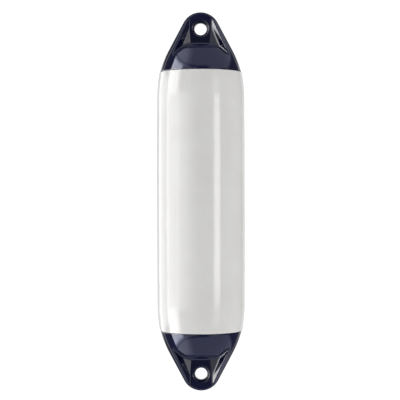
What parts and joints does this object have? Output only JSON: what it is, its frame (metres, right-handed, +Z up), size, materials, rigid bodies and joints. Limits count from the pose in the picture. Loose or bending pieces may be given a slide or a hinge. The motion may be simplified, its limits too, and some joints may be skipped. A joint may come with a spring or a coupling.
{
  "type": "boat fender",
  "caption": "Inflatable boat fender: a glossy white barrel closed at each end by a dark blue moulded rope hold with a through eye, shown as it hangs.",
  "frame": {"origin": "centre of the upper rope eye's bore, midway between the two faces of its web", "axes": "+Z up the fender's long axis towards the upper tip; the eye bores run along Y; the valve is on the +Y side"},
  "size_m": [0.1416, 0.1416, 0.61],
  "materials": {
    "white_vinyl": "gloss",
    "navy_vinyl": "gloss",
    "valve_plastic": "satin",
    "seal_rubber": "matte",
    "screw_brass": "satin"
  },
  "bodies": {
    "root": {"body": "white_vinyl", "upper_rope_hold": "navy_vinyl", "lower_rope_hold": "navy_vinyl", "valve_body": "valve_plastic", "valve_seal": "seal_rubber", "valve_screw": "screw_brass"}
  },
  "joints": []
}
